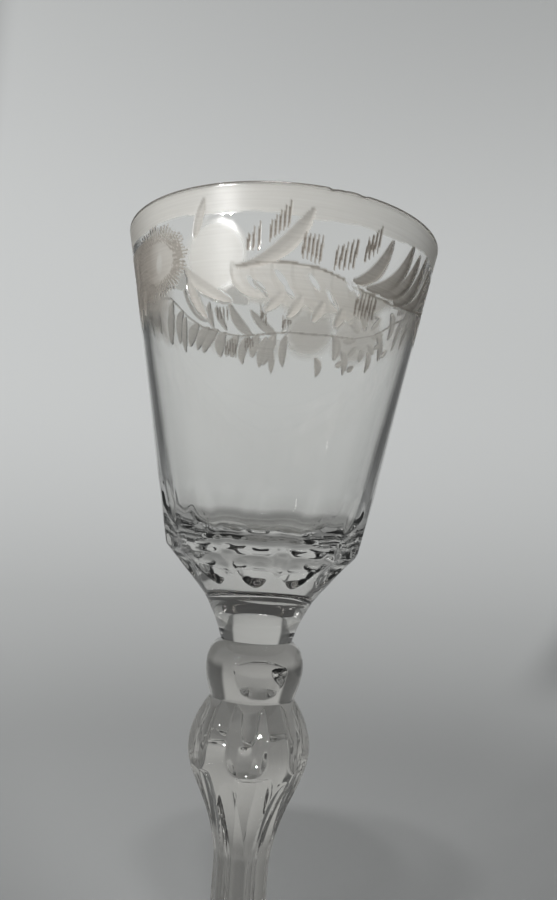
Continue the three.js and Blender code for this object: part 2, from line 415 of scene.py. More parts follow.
def apply_last(piece, **settings):
    """Sets the modifier that was added last and applies it."""
    modifier = piece.modifiers[-1]
    for key, value in settings.items():
        setattr(modifier, key, value)
    only(piece)
    bpy.ops.object.modifier_apply(modifier=modifier.name)


def dress(piece, material, node):
    """Smooths the round surfaces, marks the fused planes and puts the piece in the frame."""
    only(piece)
    bpy.ops.object.shade_smooth_by_angle(angle=crease_angle)
    piece.data.materials.clear()
    piece.data.materials.append(material)
    piece.data.materials.append(fused_plane)
    corners = piece.data.vertices
    for face in piece.data.polygons:
        for plane in fused_planes:
            if all(abs(corners[i].co.z - plane) < 1e-6 for i in face.vertices):
                face.material_index = 1
    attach(piece, "root")
    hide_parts(node)
    print(piece.name, len(piece.data.polygons), "faces,", len(piece.data.vertices), "corners")


# %% [markdown]
# ## The foot
# A low cone that flattens to a thin edge, hollow below so that it stands on a narrow ring. It is spun from
# the same profile as the rest of the goblet, because the foot was fused to the stem while hot and no edge
# shows where they meet. A curve with a Bevel could give the profile, but points that are worked out keep it
# exactly on the solids.

# %% The outline of the foot
ROUGH_SEGMENTS = 192
FINE_SEGMENTS = 256
edge = 2.6 * MM
ring_out = foot_radius - edge / 2
ring_in = ring_out - 2.5 * MM
foot_hollow = 3.4 * MM
foot_outline = chain(
    (0, foot_hollow),
    round_points((0.5 * MM, foot_hollow), (0.55 * ring_in, foot_hollow), (ring_in, 0), 16),
    round_points((ring_out, 0), (foot_radius, 0), (foot_radius, edge / 2), 10),
    round_points((foot_radius, edge / 2), (foot_radius, edge), (ring_out, edge), 10),
    round_points((ring_out, edge), (foot_neck + 8.7 * MM, 8.8 * MM), (foot_neck, stem_base), 32),
)

# %% [markdown]
# ## The stem
# A baluster, widest near its top, on a slender shank. The profile is two cubic curves that meet upright at
# the widest place, with a quarter round at the foot of the shank. It is drawn before any facet is cut, as
# the glass itself was.

# %% The outline of the stem
shank_radius = 6.95 * MM
shank_flare = 4 * MM
shank_top = stem_base + shank_flare + 11 * MM
baluster_radius = 14.95 * MM
widest = knop_base - 11.5 * MM
stem_sides = 6
tongue_turn = math.radians(-1)
kite_turn = math.radians(6)
shank_turn = math.radians(-18)
tongue_length = 15.5 * MM
crest = knop_base - tongue_length
rise = widest - shank_top
fall = knop_base - widest
stem_outline = chain(
    round_points(
        (foot_neck, stem_base),
        (shank_radius, stem_base + shank_flare / 2),
        (shank_radius, stem_base + shank_flare),
        8,
    ),
    curve_points(
        (shank_radius, shank_top),
        (shank_radius + 0.4 * MM, shank_top + 0.43 * rise),
        (baluster_radius, shank_top + 0.71 * rise),
        (baluster_radius, widest),
        36,
    ),
    curve_points(
        (baluster_radius, widest),
        (baluster_radius, widest + 0.35 * fall),
        (stem_shoulder + 2.2 * MM, widest + 0.75 * fall),
        (stem_shoulder, knop_base),
        24,
    ),
)

# %% [markdown]
# ## The knop
# A short bead pressed between stem and bowl. Two curves that meet at its widest level give it a rounder
# shoulder below than above.

# %% The outline of the knop
knop_radius = 12.15 * MM
knop_wide = bowl_base - 6.5 * MM
knop_lower = knop_wide - knop_base
knop_upper = bowl_base - knop_wide
knop_outline = chain(
    curve_points(
        (stem_shoulder, knop_base),
        (stem_shoulder + 0.6 * MM, knop_base + 0.3 * knop_lower),
        (knop_radius, knop_wide - 0.35 * knop_lower),
        (knop_radius, knop_wide),
        18,
    ),
    curve_points(
        (knop_radius, knop_wide),
        (knop_radius, knop_wide + 0.35 * knop_upper),
        (bowl_neck + 2.6 * MM, knop_wide + 0.8 * knop_upper),
        (bowl_neck, bowl_base),
        18,
    ),
)

# %% [markdown]
# ## The bowl
# The outside rises as a straight cone from a sharp corner to the rim, and below the corner it draws in to
# the neck in a few straight steps. The inside is a wall's thickness away and ends in a rounded floor above
# the solid base. The thickness could come from a Solidify modifier, but the base is a solid lump and not a
# shell, so the inside is drawn as a line of its own. The wall has evenly spaced rows near the rim, for the
# engraving to use.

# %% The outline of the bowl
base_radius = 24.3 * MM
corner = bowl_base + 22.4 * MM
cone_foot = corner - 10 * MM
cone_radius = 15.3 * MM
wall = 1.5 * MM
floor_height = bowl_base + 24.2 * MM
flute_count = 12
bowl_turn = math.radians(-4)
lip = 0.7 * MM
bend_top = floor_height + 8 * MM


def wall_at(z):
    return base_radius + (rim_radius - base_radius) * (z - corner) / (rim_top - corner)


def cone_at(z):
    return cone_radius + (base_radius - cone_radius) * (z - cone_foot) / (corner - cone_foot)


lip_out = (wall_at(rim_top - lip), rim_top - lip)
lip_middle = (rim_radius - wall / 2, rim_top)
border_foot = rim_top - 29.5 * MM
border_rows = np.array([(wall_at(z), z) for z in np.linspace(border_foot, rim_top - lip, 28)])
lip_inner = rim_radius - wall
neck_outline = chain(
    (bowl_neck, bowl_base),
    (9.75 * MM, bowl_base + 2.5 * MM),
    (10.75 * MM, bowl_base + 5 * MM),
    (12.05 * MM, bowl_base + 7.45 * MM),
    (13.35 * MM, bowl_base + 9.9 * MM),
    (cone_radius, cone_foot),
    (base_radius, corner),
)
flute_height = 16 * MM
wall_outline = np.array([(wall_at(z), z) for z in (corner, corner + flute_height)])
lip_outline = chain(
    round_points(lip_out, (rim_radius, rim_top), lip_middle, 10),
    round_points(lip_middle, (lip_inner, rim_top), (lip_inner - 0.1 * MM, rim_top - lip), 10),
)
drink_outline = chain(
    round_points(
        (wall_at(bend_top) - 2.6 * MM, bend_top),
        (wall_at(floor_height) - 3.2 * MM, floor_height + 0.4 * MM),
        (12 * MM, floor_height),
        16,
    ),
    (0.5 * MM, floor_height - 0.3 * MM),
    (0, floor_height - 0.3 * MM),
)

# %% [markdown]
# ## Rough blank and fine skin
# A Boolean leaves long thin faces that can't be smoothed. So the wheels cut a rough blank, and a fine even
# skin is later pressed onto it. The blank holds only what the cutter touches, from the shank to the lower
# wall.

# %% Blow a rough blank for the cutter
rough_outline = chain(
    (0, stem_base - 3 * MM),
    foot_outline[foot_outline[:, 1] > stem_base - 3 * MM],
    stem_outline,
    knop_outline,
    even(neck_outline, 0.8 * MM),
    even(wall_outline, 1.5 * MM),
    (wall_at(corner + flute_height + 6 * MM), corner + flute_height + 6 * MM),
    (0, corner + flute_height + 6 * MM),
)
rough = blow("rough_blank", rough_outline, ROUGH_SEGMENTS)
print("rough blank", len(rough.data.polygons), "faces")


def stem_at(z):
    return float(np.interp(z, stem_outline[:, 1], stem_outline[:, 0]))


# %% [markdown]
# ## Tongues, kites and flutes
# The shoulder of the baluster carries six hollow tongues, and below its crest six kites run down to the
# shank, whose six flutes rise to a point between them. Flat facets would be simpler, but the real wheel's
# face is round, so each cut is hollow across. Its reach is a function of the height, so that the cut follows
# the profile.

# %% Grind the stem
crest_reach = stem_at(crest) - 1.25 * MM
tongue_half_width = 7.3 * MM
tongue_hollow = 7.5 * MM
tongue_ledge = 0.22
kite_half_width = 8.8 * MM
kite_hollow = 11 * MM
flute_half_width = 6.8 * MM
flute_hollow = 8 * MM


def tongue_at(z):
    share = min(1.0, max(0.0, (z - crest) / tongue_length))
    scoop = math.sqrt(1 - (1 - min(1.0, share / tongue_ledge)) ** 2)
    depth = 1.15 * MM + 1.25 * MM * math.sin(math.pi * share**0.7)
    return stem_at(z) - 0.15 * MM - depth * scoop


def kite_at(z):
    share = max(0.0, (z - shank_top) / (crest - shank_top))
    return shank_radius + (crest_reach - shank_radius) * share**1.8


shank_flat = shank_radius * math.cos(math.pi / stem_sides) - 0.5 * MM
flute_tip = crest - 1.5 * MM
tip_reach = stem_at(flute_tip)


def flute_at(z):
    up = max(0.0, (z - shank_top) / (flute_tip - shank_top))
    down = max(0.0, (stem_base + shank_flare - z) / shank_flare)
    return shank_flat + (tip_reach - shank_flat) * up**1.7 + down**2 * (foot_neck + 0.2 * MM - shank_flat)


tongue_wheel = wheel(crest, knop_base, tongue_at, tongue_half_width, tongue_hollow)
grind(rough, tongue_wheel, stem_sides, tongue_turn)
kite_wheel = wheel(shank_top, crest, kite_at, kite_half_width, kite_hollow)
grind(rough, kite_wheel, stem_sides, kite_turn)
flute_wheel = wheel(stem_base, flute_tip + 1 * MM, flute_at, flute_half_width, flute_hollow)
grind(rough, flute_wheel, stem_sides, shank_turn)
print("stem cut:", len(rough.data.polygons), "faces")

# %% [markdown]
# ## Windows in the knop
# Three windows, wide and only a little hollow, deeper at the top than below and closed by a small ledge. A
# wheel of large radius cuts them, and its reach is read off a short list of heights.

# %% Grind the knop
knop_windows = 3
window_turn = math.radians(8)
window_half_width = 0.8 * knop_radius
window_hollow = 18 * MM
window_heights = np.array([1.0, 2.5, 8.4, 10.8]) * MM
window_reaches = np.array([11.1, 9.9, 8.9, 12.2]) * MM


def window_at(z):
    return float(np.interp(z - knop_base, window_heights, window_reaches))


window_foot = knop_base + window_heights[0]
window_top = knop_base + window_heights[-1]
knop_wheel = wheel(window_foot, window_top, window_at, window_half_width, window_hollow)
grind(rough, knop_wheel, knop_windows, window_turn)

# %% [markdown]
# ## Flutes and thumbs
# Twelve shallow flutes fade out up the wall, and below the corner twelve hollows like the print of a thumb
# go round the cone. They break the light in the heavy base. Both are cut with hollow wheels, one beside the
# other.

# %% Grind the bowl's base
thumb_length = 8.8 * MM
thumb_middle = corner - 0.45 * thumb_length
thumb_depth = 1.4 * MM
thumb_half_width = 0.34 * base_radius
thumb_hollow = 12 * MM
bowl_flute_depth = 1.25 * MM
bowl_flute_half_width = 0.4 * base_radius
bowl_flute_hollow = 20 * MM


def bowl_flute_at(z):
    return wall_at(z) - bowl_flute_depth * (1 - (z - corner) / flute_height)


def thumb_at(z):
    share = (z - thumb_middle) / (0.55 * thumb_length)
    inside = 1 - share**2
    return cone_at(z) - thumb_depth * inside * abs(inside) ** 0.7


flute_top = corner + flute_height + 1 * MM
bowl_wheel = wheel(corner - 1.5 * MM, flute_top, bowl_flute_at, bowl_flute_half_width, bowl_flute_hollow)
grind(rough, bowl_wheel, flute_count, bowl_turn)
thumb_foot = corner - thumb_length
thumb_wheel = wheel(thumb_foot, corner + 1.2 * MM, thumb_at, thumb_half_width, thumb_hollow)
grind(rough, thumb_wheel, flute_count, bowl_turn)
print("base cut:", len(rough.data.polygons), "faces")

# %% [markdown]
# ## Pressing the skin onto the cuts
# The whole goblet is spun once more in fine even steps. A Shrinkwrap modifier moves each corner to the
# nearest place on the cut blank, and a Smooth modifier rounds the ridges, more on the stem, where hands
# have worn them, than on the knop. Both work through vertex groups, so the wall, the rim and the fused
# planes stay where they are. A Bevel modifier would round the ridges too, but it fails where they fade out
# into the round glass.

# %% Draw a fine skin over the cut blank
outline = chain(
    foot_outline,
    even(stem_outline, 0.3 * MM),
    even(knop_outline, 0.3 * MM),
    even(neck_outline, 0.4 * MM),
    even(wall_outline, 0.5 * MM),
    border_rows,
    lip_outline,
    drink_outline,
)
goblet = blow("goblet", outline, FINE_SEGMENTS)
print("fine skin", len(goblet.data.polygons), "faces")
places = np.array([v.co for v in goblet.data.vertices])
radii = np.hypot(places[:, 0], places[:, 1])
heights = places[:, 2]
cut_top = corner + flute_height
outer = (heights > stem_base) & (heights < cut_top + 0.1 * MM)
outer &= (heights < corner) | (np.abs(radii - wall_at(heights)) < 0.1 * MM)
weigh(goblet, "cut", outer * 1.0)
only(goblet)
bpy.ops.object.modifier_add(type="SHRINKWRAP")
apply_last(goblet, wrap_method="NEAREST_SURFACEPOINT", target=rough, vertex_group="cut")
bpy.data.objects.remove(rough)


def near(level, reach):
    return np.clip(np.abs(heights - level) / reach, 0, 1)


wear_levels = [crest - 4 * MM, crest, knop_base, knop_base + 1 * MM, cone_foot, corner, corner + 4 * MM]
wear_shares = [0.25, 0.8, 1.0, 0.35, 1.0, 0.8, 1.0]
softness = np.interp(heights, wear_levels, wear_shares)
softness = softness * near(bowl_base, 2 * MM) * near(knop_base, 1.5 * MM)
softness *= outer * near(stem_base, 2 * MM) * np.clip((cut_top - heights) / (3 * MM), 0, 1)
weigh(goblet, "wear", np.round(softness, 1))
only(goblet)
bpy.ops.object.modifier_add(type="SMOOTH")
apply_last(goblet, factor=0.5, iterations=10, vertex_group="wear")
goblet.vertex_groups.clear()

# %% [markdown]
# ## Four pieces again
# The frame has four nodes, so the skin is parted at the levels where the gathers were fused. Bisect cuts a
# copy and fills the opening. Neighbouring pieces end in the same plane, so no gap shows between them.

# %% Part the goblet at the fused planes
seam = 0.02 * MM
fused_planes = [stem_base - seam, knop_base + seam, bowl_base]


def part(name, low, high):
    """A copy of the goblet between two levels, closed where it was parted."""
    piece = goblet.copy()
    piece.data = goblet.data.copy()
    piece.name = name
    bpy.context.scene.collection.objects.link(piece)
    only(piece)
    for level, keep in ((low, 1), (high, -1)):
        if level is None:
            continue
        bpy.ops.object.mode_set(mode="EDIT")
        bpy.ops.mesh.select_all(action="SELECT")
        bpy.ops.mesh.bisect(
            plane_co=(0, 0, level), plane_no=(0, 0, keep), use_fill=True, clear_inner=True, threshold=1e-7
        )
        bpy.ops.object.mode_set(mode="OBJECT")
    return piece


foot = part("foot_glass", None, fused_planes[0])
stem = part("stem_glass", fused_planes[0], fused_planes[1])
knop = part("knop_glass", fused_planes[1], fused_planes[2])
bowl = part("bowl_glass", fused_planes[2], None)
bpy.data.objects.remove(goblet)

# %% [markdown]
# ## Room for the engraving
# The engraving is between a tenth and half a millimetre deep, with strokes less than a millimetre wide.
# Only the band below the rim needs corners that close together, so only its faces are selected and
# subdivided. A Displace modifier with a texture could draw the relief, but strokes with a start, an end and
# a lean look more like work by hand.

# %% A finer skin for the border
cone_slope = (rim_radius - base_radius) / (rim_top - corner)
along_wall = math.hypot(1, cone_slope)
unroll_radius = 38.0
degree = math.radians(1) * unroll_radius
slack = 1e-6


def corners_of_border():
    """The places of the bowl's corners, and which of them lie on the outside of the border."""
    places = np.array([v.co for v in bowl.data.vertices])
    radii = np.hypot(places[:, 0], places[:, 1])
    inside = (places[:, 2] > border_foot - slack) & (places[:, 2] < rim_top - lip + slack)
    return places, inside & (np.abs(radii - wall_at(places[:, 2])) < 0.1 * MM)


places, border = corners_of_border()
only(bowl)
bpy.ops.object.mode_set(mode="EDIT")
bpy.ops.mesh.select_mode(type="FACE")
bpy.ops.mesh.select_all(action="DESELECT")
bpy.ops.object.mode_set(mode="OBJECT")
for face in bowl.data.polygons:
    face.select = all(border[i] for i in face.vertices)
bpy.ops.object.mode_set(mode="EDIT")
bpy.ops.mesh.subdivide(number_cuts=2)
bpy.ops.object.mode_set(mode="OBJECT")
places, border = corners_of_border()
turn = np.degrees(np.arctan2(places[border, 0], -places[border, 1])) % 360
drop = (rim_top - places[border, 2]) / MM * along_wall
print("border", int(border.sum()), "corners")


# %% [markdown]
# ## The engraver's hand
# A copper wheel leaves a few kinds of mark: a leaf-shaped blade, deeper on one side, a short upright
# stroke, a round hollow and a thin line. Each mark is a function of the distance from its line, in
# millimetres on the unrolled wall. It gives depth, finish and dirt together, so that relief and finish agree.

# %% Strokes of the engraver's wheel
class Engraving:
    """The border's depth, matte and grime. Places are (degrees round, mm below the rim)."""

    def __init__(self, turn, drop):
        self.turn = turn
        self.drop = drop
        self.depth = np.zeros(len(turn))
        self.matte = np.zeros(len(turn))
        self.grime = np.zeros(len(turn))

    def offsets(self, place):
        """Millimetres round and down from a place, the short way round."""
        around = (self.turn - place[0] + 180) % 360 - 180
        return np.radians(around) * unroll_radius, self.drop - place[1]

    def press(self, share, depth, matte, grime, crispness=4.0):
        """Deepens the glass where share is above 0 and leaves it matte. A low crispness fades at the edge."""
        share = np.clip(share, 0, 1)
        self.depth = np.maximum(self.depth, depth * share)
        cover = np.clip(share * crispness, 0, 1)
        self.matte = np.maximum(self.matte, matte * cover)
        self.grime = np.maximum(self.grime, grime * cover)

    def blade(self, base, bend, tip, half_width, depth=0.35, grime=0.25, lean=0.6, blunt=1.0):
        """A leaf cut along a bent line, wide in the middle and deeper along one side."""
        middle = ((base[0] + tip[0]) / 2, (base[1] + tip[1]) / 2)
        x, y = self.offsets(middle)
        near = np.hypot(x, y) < 22
        x, y = x[near], y[near]
        a, b, c = (np.array(((p[0] - middle[0]) * degree, p[1] - middle[1])) for p in (base, bend, tip))
        best = np.full(len(x), 1e9)
        share = np.zeros(len(x))
        steps = np.linspace(0, 1, 33)
        for t in steps:
            q = (1 - t) ** 2 * a + 2 * t * (1 - t) * b + t**2 * c
            ahead = 2 * (1 - t) * (b - a) + 2 * t * (c - b)
            ahead /= max(np.hypot(*ahead), 1e-9)
            gap = np.hypot(x - q[0], y - q[1])
            side = ahead[0] * (y - q[1]) - ahead[1] * (x - q[0])
            width = half_width * (math.sin(math.pi * min(1, t**blunt * 0.97 + 0.03)) ** 0.6) + 0.05
            value = (1 - (gap / width) ** 2) * (1 + lean * np.sign(side) * np.minimum(gap / width, 1))
            closer = gap < best
            best = np.where(closer, gap, best)
            share = np.where(closer, value, share)
        full = np.zeros(len(self.turn))
        full[near] = share
        self.press(full, depth, 1.0, grime)

    def hatch(self, first, last, tops, feet, count, half_width=0.34):
        """A row of short upright strokes between two places round the bowl."""
        for k in range(count):
            share = k / (count - 1)
            place, top, foot = (a + (b - a) * share for a, b in ((first, last), tops, feet))
            middle = (place, (top + foot) / 2)
            self.blade((place - 0.2, foot), middle, (place + 0.3, top), half_width, 0.3, 1.0, 0)

    def disc(self, place, radius, depth=0.3, matte=0.9, grime=0.1, edge=1.0, stretch=1.0):
        """A round hollow. A soft edge is a few millimetres wide, a stretch above 1 widens it sideways."""
        x, y = self.offsets(place)
        self.press((radius - np.hypot(x / stretch, y)) / edge, depth, matte, grime, 4.0 if edge < 2 else 1.1)

    def polish(self, place, length, half_width, slope=0.0, keep=0.0):
        """A small oval left clear in the matte. It leans by its slope, and keeps a share of the matte."""
        x, y = self.offsets(place)
        along = (x * math.sin(slope) + y * math.cos(slope)) / length
        across = (x * math.cos(slope) - y * math.sin(slope)) / half_width
        clear = np.clip((1 - np.hypot(along, across)) * 2.5, 0, 1)
        self.matte *= 1 - clear * (1 - keep)
        self.grime *= 1 - clear

    def flower(self, place, radius, petals, petal_length, stretch=1.0, grime=0.35, half_width=None):
        """A disc with a fringe of petals, or of hairs where they are many and narrow."""
        self.disc(place, radius, 0.3, 0.95, grime * 0.5, 1.6, stretch)
        scale = degree / stretch
        width = half_width or 0.62 * math.pi * radius / petals + 0.25
        for k in range(petals):
            angle = 2 * math.pi * k / petals
            out = np.array((math.cos(angle) / scale, math.sin(angle)))
            start = np.array(place) + out * radius * 0.8
            end = np.array(place) + out * (radius + petal_length * (1 + 0.15 * math.sin(5 * k)))
            self.blade(start, (start + end) / 2, end, width, 0.3, grime, 0.3)

    def field(self, tops, feet, depth=0.1, matte=0.85, grime=0.15, edge=2.6, fade=2):
        """A matte area between two lines of places that run round the bowl."""
        around = (self.turn - tops[0][0] + 180) % 360 - 180 + tops[0][0]
        top = np.interp(around, *np.transpose(tops))
        foot = np.interp(around, *np.transpose(feet)) + 0.5 * np.sin(np.radians(around * 31))
        inside = np.minimum((self.drop - top) / 0.4, (foot - self.drop) / edge)
        ends = np.minimum(around - tops[0][0], tops[-1][0] - around) / fade
        self.press(np.minimum(inside, ends), depth, matte, grime, 1.2)

    def line(self, places):
        """The garland's stem, a thin cut through a list of places."""
        half_width = 0.28
        for start, end in zip(places[:-1], places[1:]):
            x, y = self.offsets(start)
            run = np.array(((end[0] - start[0]) * degree, end[1] - start[1]))
            t = np.clip((x * run[0] + y * run[1]) / np.hypot(*run) ** 2, 0, 1)
            gap = np.hypot(x - t * run[0], y - t * run[1])
            self.press(1 - (gap / half_width) ** 2, depth=0.28, matte=1.0, grime=0.8)

    def band(self, foot):
        """The plain matte band under the rim, its lower edge a little uneven."""
        edge = foot + 0.5 * np.sin(np.radians(self.turn * 3 + 40)) + 0.25 * np.sin(np.radians(self.turn * 11))
        self.press(np.minimum((edge - self.drop) / 0.5, (self.drop - 0.9) / 0.4), 0.05, 0.8, 0.12)

    def tell(self, what):
        print(what, "engraved,", int((self.matte > 0).sum()), "corners matte")


# %% [markdown]
# ## The front of the garland
# A thin stem carries a big leafy field, a disc and a hairy flower on the left, blades that rise to the right,
# and short hatching between. A drawing could be pressed in as a whole, but each mark of the wheel has its own
# start, end and lean, so each is a stroke. First comes a faint matte ground at the sides and behind, darker
# and browner at the sides, and last small ovals are polished out of the field.

# %% Engrave the band, the ground and the front
garland = Engraving(turn, drop)
garland.band(6.7)
# A faint matte ground at both sides, darker and browner than the rest of the border.
garland.field(((58, 8), (124, 8)), ((58, 27), (124, 27)), 0.04, 0.65, 0.6, 10.0, 24)
garland.field(((236, 8), (318, 8)), ((236, 27), (318, 27)), 0.04, 0.7, 0.8, 6.0, 18)
haze_top = ((172, 16.5), (200, 17), (246, 15))
haze_foot = ((172, 24), (200, 24.5), (246, 25))
garland.field(haze_top, haze_foot, 0.03, 0.4, 0.2, 4.0, 8)
front_stem = [(-15.9, 17.8), (-7, 17.1), (2.4, 16.8), (12.7, 17.3), (20.2, 18.4), (31, 20.3), (45, 21)]
front_foot = ((-16, 21), (-12, 25.5), (0, 27), (14, 28), (26, 28.5), (34, 26), (45, 23))
garland.field(front_stem, front_foot, 0.1, 0.85, 0.25)
garland.line(front_stem)
right_stem = [(45, 21), (60, 20), (78, 17.5), (95, 15.5), (113, 15), (128, 17), (140, 17), (156, 15)]
back_stem = [(174, 14), (181, 14.6), (186, 15.2), (191, 15.9), (198, 17), (208, 17.1), (219, 16.7)]
left_stem = [(228, 14.9), (239, 11.1), (250, 13), (262, 18), (278, 20.5), (295, 19)]
garland.line(right_stem + back_stem + left_stem)
garland.blade((-15.5, 18.0), (1, 16.8), (9.0, 4.6), 2.1, 0.4, 0.45, 0.8, 1.5)
garland.blade((-31.5, 11), (-29.5, 7), (-27.4, 3.0), 1.2, 0.4, 0.4)
garland.blade((-36, 17.5), (-30, 22.5), (-17, 25.4), 1.5, 0.4, 0.3)
garland.blade((-35, 19.5), (-33.5, 24), (-27, 29), 1.2, 0.35, 0.4)
right_blades = (
    ((26, 18.4), (39.5, 7.0), 1.75),
    ((32, 19.2), (50.8, 6.0), 1.95),
    ((38.5, 19.6), (56.4, 7.0), 1.7),
    ((46, 20), (62.6, 5.8), 1.6),
    ((54, 20), (70, 7), 1.6),
)
for base, tip, width in right_blades:
    garland.blade(base, (tip[0] - 3.5, base[1] - 1.0), tip, width, 0.5, 0.7, 0.8)
for place in (-16, -9, -2, 5, 12, 19, 26):
    sag = 17.4 + 0.002 * (place + 5) ** 2
    tip = (place + 9, 24.5 + 0.05 * place)
    garland.blade((place - 1, sag), (place + 1.5, sag + 5), tip, 1.9, 0.25, 0.15)
garland.hatch(-11.8, -8.2, (10.8, 8.6), (14.8, 14.4), 3)
garland.hatch(-4.4, 1.2, (8.2, 3.8), (12.6, 9.4), 5)
garland.hatch(6.6, 12.5, (10, 10.4), (15.6, 16.4), 5)
garland.hatch(18.0, 24.8, (12.0, 9.2), (17, 16.2), 5)
garland.hatch(29.0, 33.4, (8.4, 5.2), (14.4, 11.4), 4)
garland.hatch(28.5, 36.5, (20.3, 20.6), (26, 26), 6)
garland.disc((-23.6, 15.5), 8.8, 0.05, 0.9, 0.0, 3.0)
garland.flower((-51, 14.2), 5.4, 58, 2.6, 1.35, 0.8, 0.3)
garland.polish((-50.5, 14.6), 2.6, 1.4, -0.3, 0.9)
low_leaves = (
    ((2, 22.5), (-5, 27.5)),
    ((8, 23.5), (3, 28.6)),
    ((16, 24), (12, 29)),
    ((24, 24.5), (21, 29.2)),
    ((31, 23), (34, 28.4)),
)
for base, tip in low_leaves:
    bend = ((base[0] + tip[0]) / 2 + 1, (base[1] + tip[1]) / 2)
    garland.blade(base, bend, tip, 1.3, 0.3, 0.35, 0.8)
gaps = ((-10.1, 21.4), (-6.6, 22.6), (0.1, 20.3), (3.2, 23.1), (11.5, 20.4), (18.8, 23.5), (24.4, 19.6))
for k, place in enumerate(gaps + ((27.5, 20.3),)):
    garland.polish(place, 2.1 + 0.5 * (k % 3), 0.8, 0.75)
garland.tell("front")

# %% [markdown]
# ## The far side
# It shows through the clear wall: a swag with leaves above and below it, a large disc and a rose. One leaf
# could be repeated, but leaves engraved by hand are never quite alike, so each has a row: its base, its bend,
# its tip and half its width.

# %% Engrave the far side
far_leaves = (
    ((217.3, 14.2), (224, 12.5), (229.8, 6.1), 1.8),
    ((193, 16), (200, 14), (204.5, 6.3), 2.0),
    ((181.2, 14.8), (187, 13.5), (194, 7.5), 1.8),
    ((222, 16.5), (227, 19), (228.2, 24.3), 2.0),
    ((216, 16.5), (221, 19), (223.5, 24.6), 1.8),
    ((211, 16.5), (217, 18.5), (219.7, 25.1), 2.1),
    ((206.8, 17), (211.5, 20), (209.6, 25.3), 2.1),
    ((200, 17), (204, 20), (203, 24.6), 1.7),
    ((189.5, 16), (193, 19), (192.5, 24), 1.8),
    ((181.5, 15.5), (184.5, 18.5), (186.6, 25.7), 2.1),
    ((183.3, 19.5), (182.5, 23.5), (182.3, 28.3), 1.2),
    ((238, 12), (243, 19), (242.6, 25.9), 1.9),
    ((232, 14), (237, 18), (235, 24.5), 1.8),
    ((118.3, 11.7), (113.1, 15), (116.2, 20), 1.8),
    ((152, 15.5), (148, 19), (150, 24), 1.7),
    ((126, 17), (121, 20), (120, 26), 1.7),
    ((230, 15.5), (233.5, 19.5), (231.6, 26.5), 1.7),
    ((213, 15.6), (216, 12.5), (214.8, 7.8), 1.5),
    ((206, 15.8), (209.5, 12), (211.5, 8.6), 1.3),
    ((194.5, 17), (199.5, 21), (197.5, 26.4), 1.7),
    ((186, 16.5), (189, 21), (188.6, 26.8), 1.5),
    ((176, 15.5), (178.5, 20), (176.5, 26), 1.6),
    ((160, 23), (157, 25), (158.5, 29), 1.4),
    ((146, 21), (142.5, 24), (143, 28.6), 1.5),
    ((130, 22.5), (127, 25), (128.5, 28.8), 1.4),
)
for base, bend, tip, width in far_leaves:
    garland.blade(base, bend, tip, width, 0.4, 0.5, 0.8)
garland.hatch(210.8, 205.5, (8.2, 8.0), (13.1, 12.4), 4, 0.3)
garland.hatch(188.8, 186.4, (5.5, 8.1), (10.7, 12.3), 3, 0.3)
garland.hatch(178, 174.4, (8.2, 8.1), (13.4, 11.5), 4, 0.3)
garland.hatch(206.6, 201.4, (19.1, 18.1), (24.7, 24.2), 5, 0.3)
garland.hatch(196.2, 192.6, (17.1, 16.8), (21.4, 20.2), 4, 0.3)
garland.disc((172.4, 19), 1.3)
garland.disc((164.4, 14.1), 10, 0.08, 1.0, 0.3, 4.6)
garland.disc((138, 17), 10, 0.08, 0.95, 0.3, 4.0, 1.15)
garland.flower((134, 17.5), 4.2, 8, 3.8, 1.0, 0.5)
for place in ((146.5, 25.1), (139, 27.0), (124, 21), (116.7, 24.2)):
    base = (place[0] - 2, place[1] - 0.8)
    garland.blade(base, place, (place[0] + 2, place[1] + 0.4), 1.2, 0.35, 0.5)
garland.tell("far side")

# %% [markdown]
# ## The sides
# The garland goes on round both sides, with a flower in the middle of each. They could be mirrored, but an
# engraver works from one leaf to the next, so they differ a little.

# %% Engrave the sides
garland.flower((88, 13.5), 4.4, 18, 2.4)
garland.flower((272, 13), 4.4, 18, 2.4)
side_leaves = (
    ((60, 20), (77, 8)),
    ((104, 15.5), (98, 7)),
    ((70, 18.5), (76, 26)),
    ((82, 17), (86, 25.5)),
    ((96, 15.5), (100, 24.5)),
    ((106, 15), (110, 24)),
    ((247, 12.5), (253, 7)),
    ((255, 15), (252, 24)),
    ((266, 19), (263, 26.5)),
    ((280, 20.5), (276, 27)),
    ((290, 19.5), (287, 27)),
    ((298, 18), (294, 25)),
    ((286, 19), (291, 8)),
)
for base, tip in side_leaves:
    garland.blade(base, ((base[0] + 2 * tip[0]) / 3, (base[1] * 2 + tip[1]) / 3), tip, 1.4)
garland.hatch(112, 106, (8.5, 8.5), (13, 13), 4)
garland.hatch(258, 253, (8.5, 9.5), (13.5, 14), 3)
garland.tell("sides")

# %% [markdown]
# ## From depth to relief
# Each corner of the border moves towards the axis by the depth of the deepest stroke that passes over it.
# A Displace modifier could read the depth from a vertex group, but setting the places directly is one call.

# %% Sink the engraving into the glass
reach = wall_at(places[border, 2]) - garland.depth * MM
places[border, 0] = np.sin(np.radians(turn)) * reach
places[border, 1] = -np.cos(np.radians(turn)) * reach
bowl.data.vertices.foreach_set("co", places.ravel())

# %% [markdown]
# ## A rim that has been used
# Old rims are nicked where they have met taps and other glasses. A chip is a small bite out of the rounded
# lip. It could be cut with a Boolean, but moving a few corners down does the same for so small a mark. Each
# chip is given by its place and width in degrees and its depth in millimetres.

# %% Chip the rim
chips = ((14.4, 1.7, 0.45), (17.6, 1.2, 0.25), (24.6, 1.5, 0.4))
rim_turn = np.degrees(np.arctan2(places[:, 0], -places[:, 1]))
for place, width, depth in chips:
    bite = np.clip(1 - np.abs(rim_turn - place) / width, 0, 1)
    places[:, 2] -= bite * (places[:, 2] > rim_top - 0.5 * lip) * depth * MM
bowl.data.vertices.foreach_set("co", places.ravel())

